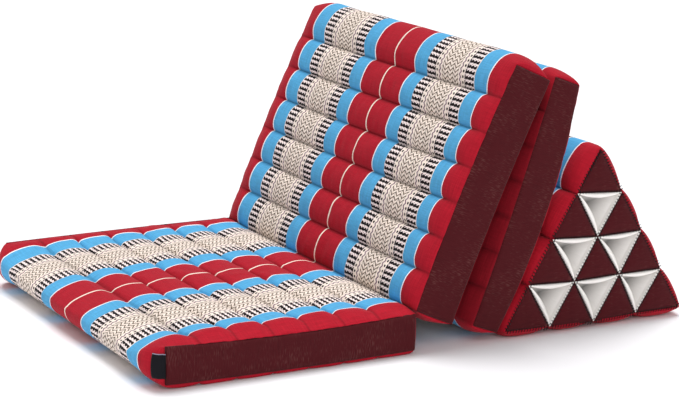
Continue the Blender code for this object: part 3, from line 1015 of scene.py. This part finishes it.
    def make_cover(self, cloths: Wardrobe) -> tuple[bpy.types.Object, np.ndarray, np.ndarray]:
        """Build the striped cover.

        Args:
            cloths: The finished cloths.

        Returns:
            The cover, which vertices are sewn, and how far each may swell.
        """
        cover = FilledCover(f"{self.name}_cover", self.name, self.seed, fill=0.8)
        line = self.outline(End.NEAR, inner=False)
        full = np.array(line.full)
        held_at = {-1.0: np.array(line.held), 1.0: np.array(self.outline(End.FAR, inner=False).held)}
        inner = np.array(self.outline(End.NEAR, inner=True).full)
        sewn, swell = np.array(line.sewn), np.array(line.swell)
        smooth = self.merged(full, line)
        middle = (self.seams(0.0)[0] + self.seams(0.0)[1]) / 2
        behind = np.clip(0.5 - (full[:, 1] - middle) / (2 * abs(middle)), 0, 1)
        rings = []
        for y, depth in cover.stations():
            held = held_at[math.copysign(1.0, y)]
            end, face = cover.fades(depth)
            face += (cover.fades(depth, self.rear_fade)[1] - face) * behind
            merge = 0.5 + 0.5 * math.cos(math.pi * min(max((depth - 0.012) / 0.045, 0.0), 1.0))
            sunk = 0.5 - 0.5 * math.cos(math.pi * min(max((depth - 0.02) / 0.08, 0.0), 1.0))
            wanted = full + (smooth - full) * merge + (inner - full) * sunk
            ring = held + (wanted - held) * np.stack([np.full(len(face), end), face], axis=1)
            bowed = self.bow * (1 - (y / SIDE_Y) ** 2)
            ring[:, 0] += bowed * np.sin(np.pi * np.clip(ring[:, 0] / self.length, 0, 1))
            ring[:, 1] = np.maximum(ring[:, 1], self.lowest)
            rings.append(self.placed(ring))
        rings = np.array(rings)
        # Painted shade: the face that lies against the next mat is darkened in its colour, up to the wrapped
        # end, for the shade it lies in
        hidden = (swell < 0.0002) & (full[:, 0] > 0)
        shade = 1 - 0.55 * hidden * np.clip((self.length - full[:, 0]) / 0.05, 0, 1)
        piece = cover.build(rings, sewn, swell, shade, cloths.cover)
        fixed = np.tile(sewn, len(rings))
        fixed[: len(sewn)] = True
        fixed[-len(sewn) :] = True
        return piece, fixed, np.tile(swell, len(rings))

    def make_gusset(self, end: End, cloths: Wardrobe) -> bpy.types.Object:
        """Build one side cloth, a little puffed between its seams.

        Args:
            end: Which long side.
            cloths: The finished cloths.

        Returns:
            The side cloth.
        """
        rows, columns = 96, 19
        points, uv_of = [], []
        for j in range(rows):
            u = 0.5 - 0.5 * math.cos(math.pi * j / (rows - 1))
            u += 0.35 * (j / (rows - 1) - u)
            top, bottom = self.hems(u * self.length, end)
            from_end = min(u, 1 - u) * self.length
            for i in range(columns):
                v = 0.5 - 0.5 * math.cos(math.pi * i / (columns - 1))
                t = bottom + (top - bottom) * v
                from_edge = max(0.0, min(t - bottom, top - t, from_end))
                round_off = math.sqrt(1 - (1 - min(from_edge / 0.007, 1.0)) ** 2)
                belly = max(0.0, math.sin(math.pi * v)) ** 0.7
                puff = self.gusset_bulge * (0.35 + 0.65 * belly) * round_off
                fold = 0.0006 * math.exp(-(((from_edge - 0.006) / 0.0015) ** 2))
                crease = 0.0016 * wrinkle(14 * u * self.length, 26 * t, end.value, self.seed) * round_off
                crease += 0.0008 * wrinkle(60 * u * self.length, 22 * t, 3, self.seed) * round_off
                x, z = self.placed(np.array((u * self.length, t)))
                y = SIDE_Y - self.seam_depth * (1 - round_off) + 0.0006 + puff + fold + crease
                points.append((x, end.value * y, z))
                uv_of.append((t - bottom, u * self.length))
        faces = grid_faces(rows, columns, closed=False)
        if end is End.FAR:
            faces = [tuple(reversed(face)) for face in faces]
        if self.along[0] < 0:
            faces = [tuple(reversed(face)) for face in faces]
        uvs = [uv_of[corner] for face in faces for corner in face]
        node = f"{self.name}_gusset_{end.name.lower()}"
        piece = make_piece(f"{node}_cloth", np.array(points), faces, np.array(uvs), cloths.side)
        add_thickness(piece, CLOTH_THICKNESS)
        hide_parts(node)
        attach(piece, "root")
        area = sum(self.seams(q)[0] - self.seams(q)[1] for q in np.linspace(0, self.length, 51)) / 51
        area *= self.length
        return piece


def add_thickness(piece: bpy.types.Object, thickness: float) -> None:
    """Give a cloth its thickness on the inner side.

    Args:
        piece: The cloth.
        thickness: In metres.
    """
    shell = piece.modifiers.new("cloth thickness", "SOLIDIFY")
    shell.thickness = thickness
    shell.offset = -1.0


@dataclass
class TriangleBolster:
    """The bolster: four channels on each of three faces, and a patchwork of cells at each end."""

    front_x: float
    rows: int = 4
    cell: float = 0.1021
    row_height: float = 0.0843
    base_z: float = 0.0174
    leaned_on_crown: float = 0.012
    crown: float = 0.018
    floor_crown: float = 0.024
    corner_turn: float = 0.85
    channel_steps: int = 13
    pocket_depth: float = 0.045
    panel_bulge: float = 0.005
    seed: float = 41.0

    def outline(self) -> Outline:
        """The bolster's closed outline as (x, z), from its front corner over the top to the back."""
        base, height = self.cell * self.rows, self.row_height * self.rows
        x, z = self.front_x, self.base_z
        corners = [(x, z), (x + base / 2, z + height), (x + base, z)]
        crowns = ((self.leaned_on_crown,) + (self.crown,) * 3, (self.crown,) * 4, (self.floor_crown,) * 4)
        swells = (0.0012, 0.004, 0.0005)
        line = Outline([], [], [], [])
        for side, (start, end) in enumerate(zip(corners, corners[1:] + corners[:1])):
            dx, dz = (end[0] - start[0]) / self.rows, (end[1] - start[1]) / self.rows
            out = Vector((-dz, dx)).normalized()
            for row in range(self.rows):
                low = 1 - self.corner_turn if row == 0 else 0.0
                high = self.corner_turn if row == self.rows - 1 else 1.0
                for step in range(self.channel_steps + (row == self.rows - 1)):
                    angle = math.pi * (low + (high - low) * step / self.channel_steps)
                    first, last = math.cos(math.pi * low), math.cos(math.pi * high)
                    u = row + (first - math.cos(angle)) / (first - last)
                    at = Vector((start[0] + dx * u, start[1] + dz * u))
                    top = at + out * crowns[side][row] * math.sin(angle)
                    line.extend((top.x, top.y), (at.x, at.y), step == 0 and row > 0, swells[side])
        return line

    def make_cover(self, cloths: Wardrobe) -> tuple[bpy.types.Object, np.ndarray, np.ndarray]:
        """Build the striped cover, open behind its end cloths.

        Args:
            cloths: The finished cloths.

        Returns:
            The cover, which vertices are sewn, and how far each may swell.
        """
        cover = FilledCover("bolster_cover", "triangle_bolster", self.seed, fill=0.9, recess=0.052)
        line = self.outline()
        full, held = np.array(line.full), np.array(line.held)
        rings = []
        for _, depth in cover.stations():
            _, face = cover.fades(depth, 0.036)
            ring = held + (full - held) * face
            ring[:, 1] = np.maximum(ring[:, 1], 0.0)
            rings.append(ring)
        sewn, swell = np.array(line.sewn), np.array(line.swell)
        piece = cover.build(np.array(rings), sewn, swell, np.ones(len(sewn)), cloths.cover)
        fixed = np.tile(sewn, len(rings) + 2)
        fixed[: 2 * len(sewn)] = True
        fixed[-2 * len(sewn) :] = True
        return piece, fixed, np.tile(swell, len(rings) + 2)

    def knot(self, row: int, column: int) -> Vector:
        """One corner of the lattice as (x, z), moved by the slump of the filling.

        Args:
            row: From the floor up.
            column: From the front.

        Returns:
            Its place.
        """
        across, up = SLUMP_MM.get((row, column), (0.0, 0.0))
        x = self.front_x + self.cell * (column + row / 2) + across / 1000
        return Vector((x, self.base_z + self.row_height * row + up / 1000))

    def upright_cells(self) -> list[list[Vector]]:
        """Corners of each upright cell as (x, z), from the bottom row up."""
        return [
            [self.knot(row, column), self.knot(row + 1, column), self.knot(row, column + 1)]
            for row in range(self.rows)
            for column in range(self.rows - row)
        ]

    def hanging_cells(self) -> list[list[Vector]]:
        """Corners of each inverted cell as (x, z), from the bottom row up, its lowest corner first."""
        return [
            [self.knot(row, column + 1), self.knot(row + 1, column), self.knot(row + 1, column + 1)]
            for row in range(self.rows - 1)
            for column in range(self.rows - 1 - row)
        ]

    @staticmethod
    def inset(corners: list[Vector], by: float) -> tuple[list[Vector], Vector]:
        """Move a triangle's sides in.

        Args:
            corners: Its corners.
            by: Distance that each side moves.

        Returns:
            The new corners and the triangle's incentre.
        """
        a, b, c = corners
        sides = ((b - c).length, (c - a).length, (a - b).length)
        centre = (a * sides[0] + b * sides[1] + c * sides[2]) / sum(sides)
        area = abs((b - a).x * (c - a).y - (b - a).y * (c - a).x) / 2
        keep = 1 - by * sum(sides) / (2 * area)
        return [centre + (corner - centre) * keep for corner in corners], centre

    def make_panel(self, end: End, number: int, corners: list[Vector], cloths: Wardrobe):
        """Build one upright triangle of side cloth, puffed by the filling behind it.

        Args:
            end: Which end of the bolster.
            number: The cell, from the bottom row up.
            corners: The cell's corners.
            cloths: The finished cloths.

        Returns:
            The panel.
        """
        steps = 18
        (a, b, c), _ = self.inset(corners, 0.0006)
        points, at, faces = [], {}, []
        for i in range(steps + 1):
            for j in range(steps + 1 - i):
                wb, wc = i / steps, j / steps
                wa = 1 - wb - wc
                place = a * wa + b * wb + c * wc
                near = 3 * max(0.0, min(wa, wb, wc))
                puff = self.panel_bulge * math.sin(math.pi / 2 * near) ** 0.8
                puff += 0.0012 * wrinkle(30 * place.x, 30 * place.y, number + end.value, self.seed) * near
                at[i, j] = len(points)
                points.append((place.x, end.value * (SIDE_Y - 0.0008 + puff), place.y))
        for i in range(steps):
            for j in range(steps - i):
                faces.append((at[i, j], at[i + 1, j], at[i, j + 1]))
                if j < steps - 1 - i:
                    faces.append((at[i + 1, j], at[i + 1, j + 1], at[i, j + 1]))
        if end is End.NEAR:
            faces = [tuple(reversed(face)) for face in faces]
        uvs = [(points[corner][0] - a.x, points[corner][2] - a.y) for face in faces for corner in face]
        node = f"end_panel_{end.name.lower()}_{number:02d}"
        piece = make_piece(f"{node}_cloth", np.array(points), faces, np.array(uvs), cloths.side)
        add_thickness(piece, CLOTH_THICKNESS)
        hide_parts(node)
        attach(piece, "root")
        return piece

    def make_pocket(self, end: End, number: int, corners: list[Vector], cloths: Wardrobe):
        """Build one sunk pocket cloth: three walls that the filling puffs out, meeting at a deep point, with
        painted shade in its colour.

        Args:
            end: Which end of the bolster.
            number: The cell, from the bottom row up.
            corners: The cell's corners.
            cloths: The finished cloths.

        Returns:
            The pocket cloth.
        """
        across, lip_rings, deep = 16, 6, 15
        rim, centre = self.inset(corners, 0.0008)
        ring = []
        for wall, (start, finish) in enumerate(zip(rim, rim[1:] + rim[:1])):
            puffed = (1.0, 1.0, 0.12)[wall]
            ring += [(start.lerp(finish, k / across), k / across, puffed) for k in range(across)]
        # open_to_light holds each point's painted shade, a factor on the pocket cloth's colour
        points, uv_of, open_to_light = [], [], []
        for step in range(deep):
            for index, (edge, k, puffed) in enumerate(ring):
                bow = (4 * k * (1 - k)) ** 0.55
                lip = 0.04 + 0.36 * bow * puffed
                if step <= lip_rings:
                    on_lip = step / lip_rings
                    r = lip * on_lip
                    roll = 0.0065 * bow * puffed * math.sin(math.pi * on_lip**0.8)
                    sunk = 0.16 * on_lip**3
                    # Painted shadow: a dark line along the inner edge of each puffed lip
                    tone = 1 - 0.85 * puffed * max(0.0, (on_lip - 0.7) / 0.3) ** 2
                else:
                    on_lip = ((step - lip_rings) / (deep - lip_rings)) ** 1.6
                    r = lip + (1 - lip) * on_lip
                    roll = 0.0
                    sunk = 0.16 + 0.84 * on_lip ** (1 - 0.6 * puffed * bow)
                    # Painted shade: darker the deeper the cloth sinks
                    tone = 1 - 0.66 * sunk**1.8 - 0.12 * puffed
                place = edge.lerp(centre, r)
                crease = 0.0010 * wrinkle(60 * place.x, 60 * place.y, 20 * r, self.seed + number)
                y = SIDE_Y - 0.0004 + roll - self.pocket_depth * sunk + crease * math.sin(math.pi * r)
                points.append((place.x, end.value * y, place.y))
                uv_of.append((index / len(ring) * 0.3, r * 0.053))
                open_to_light.append(tone)
        # Painted shade: the deep point is darkest
        points.append((centre.x, end.value * (SIDE_Y - self.pocket_depth), centre.y))
        uv_of.append((0.15, 0.053))
        open_to_light.append(0.25)
        count, tip = len(ring), len(points) - 1
        faces = grid_faces(deep, count, closed=True)
        base = (deep - 1) * count
        faces += [(base + i, base + (i + 1) % count, tip) for i in range(count)]
        if end is End.FAR:
            faces = [tuple(reversed(face)) for face in faces]
        uvs = [uv_of[corner] for face in faces for corner in face]
        node = f"pocket_liner_{end.name.lower()}_{number}"
        piece = make_piece(
            f"{node}_cloth", np.array(points), faces, np.array(uvs), cloths.pocket
        )
        tone = piece.data.attributes.new(PAINTED_SHADE_TONE, "FLOAT", "POINT")
        tone.data.foreach_set("value", np.array(open_to_light, np.float32))
        add_thickness(piece, CLOTH_THICKNESS)
        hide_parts(node)
        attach(piece, "root")
        return piece

    def make_overcasting(self, end: End, cloths: Wardrobe) -> bpy.types.Object:
        """Sew the end's cells together: short slanting loops of thread over every edge.

        Args:
            end: Which end of the bolster.
            cloths: The finished cloths.

        Returns:
            All the end's stitches as one piece.
        """
        spacing, reach, radius = 0.0062, 0.0036, 0.0010
        edges = {}
        for corners in self.upright_cells():
            for a, b in zip(corners, corners[1:] + corners[:1]):
                key = tuple(sorted(((round(a.x, 4), round(a.y, 4)), (round(b.x, 4), round(b.y, 4)))))
                edges[key] = (a, b)
        sewing = Stitching(radius)
        for a, b in edges.values():
            run = (b - a).normalized()
            side = Vector((-run.y, run.x))
            count = int((b - a).length / spacing)
            for k in range(1, count):
                at = a.lerp(b, k / count)
                slant = run * (0.0010 + 0.0005 * wrinkle(700 * at.x, 700 * at.y, 0, 1.0))
                path = []
                for u, rise in ((-1, -0.0002), (-0.55, 0.0009), (0, 0.0012), (0.55, 0.0009), (1, -0.0002)):
                    place = at + side * (u * reach) + slant * u
                    path.append(Vector((place.x, end.value * (SIDE_Y + rise), place.y)))
                sewing.add(path)
        piece = sewing.make(f"overcasting_{end.name.lower()}", cloths.thread)
        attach(piece, "root")
        return piece


class Stitching:
    """Many short threads gathered into one mesh of four-sided tubes."""

    def __init__(self, radius: float) -> None:
        """Start an empty mesh.

        Args:
            radius: Of the thread.
        """
        self.radius = radius
        self.points: list[Vector] = []
        self.faces: list[tuple] = []

    def add(self, path: list[Vector]) -> None:
        """Add one thread.

        Args:
            path: The points that it follows.
        """
        base = len(self.points)
        for k, point in enumerate(path):
            run = (path[min(k + 1, len(path) - 1)] - path[max(k - 1, 0)]).normalized()
            up = Vector((0, 1, 0))
            side = run.cross(up).normalized()
            up = side.cross(run)
            for across, upwards in ((1, 0), (0, 1), (-1, 0), (0, -1)):
                self.points.append(point + (side * across + up * upwards) * self.radius)
        for k in range(len(path) - 1):
            for i in range(4):
                a, b = base + 4 * k + i, base + 4 * k + (i + 1) % 4
                self.faces.append((a, b, b + 4, a + 4))
        self.faces.append((base + 3, base + 2, base + 1, base))
        last = base + 4 * (len(path) - 1)
        self.faces.append((last, last + 1, last + 2, last + 3))

    def make(self, name: str, material: bpy.types.Material) -> bpy.types.Object:
        """Make the piece.

        Args:
            name: Its name.
            material: The thread.

        Returns:
            The stitches as one object.
        """
        corners = sum(len(face) for face in self.faces)
        points = np.array([tuple(point) for point in self.points])
        return make_piece(name, points, self.faces, np.zeros((corners, 2)), material)


@dataclass
class CornerTab:
    """The bare tape tab, sewn into the seat's front corner seam and lying on its cover."""

    width: float = 0.025
    height: float = 0.045
    reach_in: float = 0.0125  # how far in from the side the tab's free edge lies
    belly: float = 0.0010

    def make(self, seat: QuiltedMat, cover: bpy.types.Object, cloths: Wardrobe) -> bpy.types.Object:
        """Build the tab on the settled cover.

        Args:
            seat: The seat mat.
            cover: Its cover.
            cloths: The finished cloths.

        Returns:
            The tab.
        """
        low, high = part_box("sewn_tab")
        surface = BVHTree.FromObject(cover, bpy.context.evaluated_depsgraph_get())
        columns, rows = 11, 15
        points, uv_of = [], []
        for j in range(rows):
            v = j / (rows - 1)
            for i in range(columns):
                u = i / (columns - 1)
                depth = 0.0006 + self.reach_in * u**1.6
                share, _ = FilledCover.fades(depth)
                x = seat.corner[0] - seat.length - seat.wrap_bulge * share
                out = Vector((-0.35 - 0.5 * u, -1.0 + 0.6 * u, 0.0)).normalized()
                outside = Vector((x, -SIDE_Y + depth, low.z + (high.z - low.z) * v)) + out * 0.03
                found = surface.ray_cast(outside, -out, 0.08)[0]
                place = found if found is not None else outside - out * 0.03
                if i == 0:
                    place = Vector((seat.corner[0] - seat.length - 0.0005, -SIDE_Y - 0.0012, outside.z))
                lift = 0.0013 + self.belly * math.sin(math.pi * v) * u + 0.0016 * u**3 * (1 - v)
                points.append(tuple(place + out * lift))
                uv_of.append(((1 - u) * self.width, v * self.height))
        faces = grid_faces(rows, columns, closed=False)
        uvs = [uv_of[corner] for face in faces for corner in face]
        piece = make_piece("corner_tab", np.array(points), faces, np.array(uvs), cloths.tape)
        add_thickness(piece, 0.0008)
        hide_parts("sewn_tab")
        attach(piece, "root")
        return piece


@dataclass
class Studio:
    """White room: the photograph's viewing angle, a pale floor and soft light from above."""

    azimuth: float = 28.74
    elevation: float = 13.32
    roll: float = 0.915
    lens_mm: float = 118.0
    place: tuple = (-2.0618, -3.794, 1.223)
    room_light: float = 0.36
    # Each soft light: name, strength, angular size in degrees, and where it shines to
    lights: tuple = (
        ("skylight", 2.35, 34.0, (-0.10, -0.25, -1.0)),
        ("fill light", 1.25, 60.0, (0.25, 1.0, -0.5)),
    )
    floor_colour: str = "#F7F6F9"
    floor_fleck: str = "#FBFAFC"
    floor_half: float = 9.0

    def make_camera(self) -> None:
        """Set up the camera where the photograph was taken from."""
        azimuth, elevation, roll = (math.radians(a) for a in (self.azimuth, self.elevation, self.roll))
        ahead = Vector((math.sin(azimuth) * math.cos(elevation), math.cos(azimuth) * math.cos(elevation),
                        -math.sin(elevation)))
        right = Vector((math.cos(azimuth), -math.sin(azimuth), 0))
        up = right.cross(ahead)
        tilted = right * math.cos(roll) + up * math.sin(roll)
        above = up * math.cos(roll) - right * math.sin(roll)
        data = bpy.data.cameras.new("photograph")
        data.sensor_width = 36.0
        data.lens = self.lens_mm
        data.clip_end = 100.0
        camera = bpy.data.objects.new("photograph", data)
        bpy.context.scene.collection.objects.link(camera)
        turn = Matrix((tilted, above, -ahead)).transposed().to_4x4()
        camera.matrix_world = Matrix.Translation(self.place) @ turn
        bpy.context.scene.camera = camera

    def make_room(self) -> None:
        """Build the floor and the light of the room."""
        scene = bpy.context.scene
        scene.view_settings.view_transform = "Standard"
        world = bpy.data.worlds.new("white room")
        world.use_nodes = True
        world.node_tree.nodes["Background"].inputs["Color"].default_value = (1.0, 1.0, 1.0, 1.0)
        world.node_tree.nodes["Background"].inputs["Strength"].default_value = self.room_light
        scene.world = world
        half = self.floor_half
        mesh = bpy.data.meshes.new("floor")
        mesh.from_pydata([(-half, -half, 0), (half, -half, 0), (half, half, 0), (-half, half, 0)], [],
                         [(0, 1, 2, 3)])
        material = bpy.data.materials.new("painted floor")
        material.use_nodes = True
        tree = material.node_tree
        shader = tree.nodes["Principled BSDF"]
        shader.inputs["Roughness"].default_value = 0.9
        shader.inputs["Specular IOR Level"].default_value = 0.1
        grain = add_node(tree, "TexNoise", {"Scale": 30.0})
        shades = {0: grain, 6: linear(self.floor_colour), 7: linear(self.floor_fleck)}
        colour = add_node(tree, "Mix", shades, out=2, data_type="RGBA")
        tree.links.new(colour, shader.inputs["Base Color"])
        mesh.materials.append(material)
        floor = bpy.data.objects.new("floor", mesh)
        scene.collection.objects.link(floor)
        for name, strength, softness, aim in self.lights:
            data = bpy.data.lights.new(name, "SUN")
            data.energy = strength
            data.angle = math.radians(softness)
            light = bpy.data.objects.new(name, data)
            light.rotation_euler = Vector(aim).to_track_quat("-Z", "Y").to_euler()
            scene.collection.objects.link(light)


# How far the corners of the bolster's cells have slumped off their even lattice, across and up, in
# millimetres, by row and column
SLUMP_MM = {
    (1, 0): (-2.0, 2.0), (1, 1): (2.0, -3.0), (1, 2): (4.5, -0.5), (1, 3): (1.5, -0.5),
    (2, 0): (-2.5, 2.5), (2, 1): (0.8, -4.0), (2, 2): (1.5, -2.0),
    (3, 0): (0.0, 2.5), (3, 1): (3.0, -4.5), (4, 0): (1.5, 0.0),
    (0, 1): (0.0, -3.5), (0, 2): (-0.8, -6.0), (0, 3): (-3.5, -0.5),
}
FRONT_ALONG, FRONT_OUT = leaning(24.4)
REAR_ALONG, REAR_OUT = leaning(20.9)
MATS = (
    QuiltedMat(
        name="seat_mat", corner=(0.438 + ROOT_X, 0.083), along=(-1.0, 0.0), out=(0.0, 1.0), length=0.505,
        first=0.0763, pitch=0.0723, front=(0.0, 0.0, 0.0), rear=(-0.073, -0.073, -0.073),
        front_crowns=(0.011,) * 7, rear_crowns=(0.014,) * 7, front_dip=(-0.005, -0.011, -0.002),
        far_dip=(0.002, 0.003, 0.001), rear_dip=(-0.002, -0.003, 0.001), front_sink=(0.007, 0.008, 0.013),
        front_drop=(0.003, 0.003, 0.012), bow=0.002, front_fill=0.0, rear_fill=0.5, wrap_bulge=0.031,
        sewn_bulge=0.006, squareness=2.6, inner_squareness=2.05, rear_fade=0.012, lowest=-0.083,
        front_swell=0.003, rear_swell=0.001, seed=3.0,
    ),
    QuiltedMat(
        name="front_back_mat", corner=(0.43836 + ROOT_X, 0.08336), along=FRONT_ALONG, out=FRONT_OUT,
        length=0.490, first=0.073, pitch=0.070, front=(0.0, 0.006, 0.0), rear=(-0.086, -0.080, -0.080),
        front_crowns=(0.013,) * 7, rear_crowns=(0.011, 0.011, 0.011, 0.011, 0.010, 0.0085, 0.007),
        front_dip=(0.0, 0.0, 0.0), far_dip=(0.0, 0.0, 0.0), rear_dip=(0.0, 0.0, -0.004),
        front_sink=(0.003, 0.005, 0.002), front_drop=(0.003, 0.005, 0.001), bow=-0.003,
        front_fill=0.0, rear_fill=0.5, wrap_bulge=0.026, sewn_bulge=0.014, squareness=2.8,
        lowest=-1.0, front_swell=0.002, rear_swell=0.00015, seed=17.0,
    ),
    QuiltedMat(
        name="rear_back_mat", corner=(0.5519 + ROOT_X, 0.044), along=REAR_ALONG, out=REAR_OUT,
        length=0.490, first=0.073, pitch=0.070, front=(0.0, 0.0, 0.0), rear=(-0.070, -0.087, -0.060),
        front_crowns=(0.011, 0.011, 0.011, 0.011, 0.010, 0.0085, 0.007),
        rear_crowns=(0.006, 0.010, 0.011, 0.011, 0.011, 0.011, 0.011), front_dip=(-0.013, -0.013, -0.002),
        far_dip=(0.0, 0.0, 0.0), rear_dip=(0.0, 0.0, 0.0), front_sink=(0.0, 0.0, 0.0),
        front_drop=(0.0, 0.0, 0.0), bow=0.0, front_fill=0.5, rear_fill=0.0, wrap_bulge=0.018,
        sewn_bulge=0.016, squareness=3.2, lowest=-1.0, front_swell=0.00015, rear_swell=0.0015,
        seed=29.0,
    ),
)
BOLSTER_X = 0.6352 + ROOT_X


def main() -> None:
    """Build the room, dress every cloth and settle the filling."""
    logging.basicConfig(level=logging.INFO, format="%(message)s")
    studio = Studio()
    studio.make_camera()
    studio.make_room()
    cloths = Wardrobe(
        cover=LoomedStripedCotton("loomed striped cotton").material(),
        side=SlubCotton("slub cotton").material(),
        pocket=PlainCotton("bleached plain cotton", folded=True).material(),
        tape=WovenTape("woven polyester tape", sheen=0.1, roughness=0.7).material(),
        thread=PlainCotton("waxed sewing thread", colour="#1D1113", sheen=0.1).material(),
    )
    covers = []
    for mat in MATS:
        covers.append(mat.make_cover(cloths))
        for end in End:
            LOG.info("made %s", mat.make_gusset(end, cloths).name)
    bolster = TriangleBolster(BOLSTER_X)
    covers.append(bolster.make_cover(cloths))
    for end in End:
        for number, corners in enumerate(bolster.upright_cells(), start=1):
            bolster.make_panel(end, number, corners, cloths)
        for number, corners in enumerate(bolster.hanging_cells(), start=1):
            bolster.make_pocket(end, number, corners, cloths)
        LOG.info("made %s", bolster.make_overcasting(end, cloths).name)
    Filling().settle(covers)
    LOG.info("made %s", CornerTab().make(MATS[0], covers[0][0], cloths).name)


if __name__ == "__main__":
    main()
